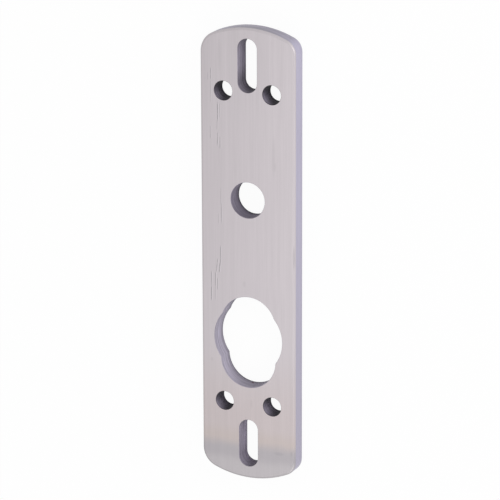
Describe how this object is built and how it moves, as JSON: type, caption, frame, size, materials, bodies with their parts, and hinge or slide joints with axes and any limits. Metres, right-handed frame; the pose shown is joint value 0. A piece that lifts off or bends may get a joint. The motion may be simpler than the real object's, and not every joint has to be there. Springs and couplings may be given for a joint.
{
  "type": "lock spacer plate",
  "caption": "Long flat metal spacer plate with arched ends for a door lock, with a lobed cylinder opening, a round spindle hole, screw holes and end slots cut straight through.",
  "frame": {"origin": "the spindle hole's axis, on the back face that lies against the door", "axes": "+X across the plate to the right seen from the front, +Y along the plate towards the end nearest the spindle hole, +Z out of the front face"},
  "size_m": [0.051, 0.2327, 0.01],
  "materials": {
    "plate": "satin, with fine streaks along the bar"
  },
  "bodies": {
    "root": {"spacer_plate": "plate"}
  },
  "joints": []
}
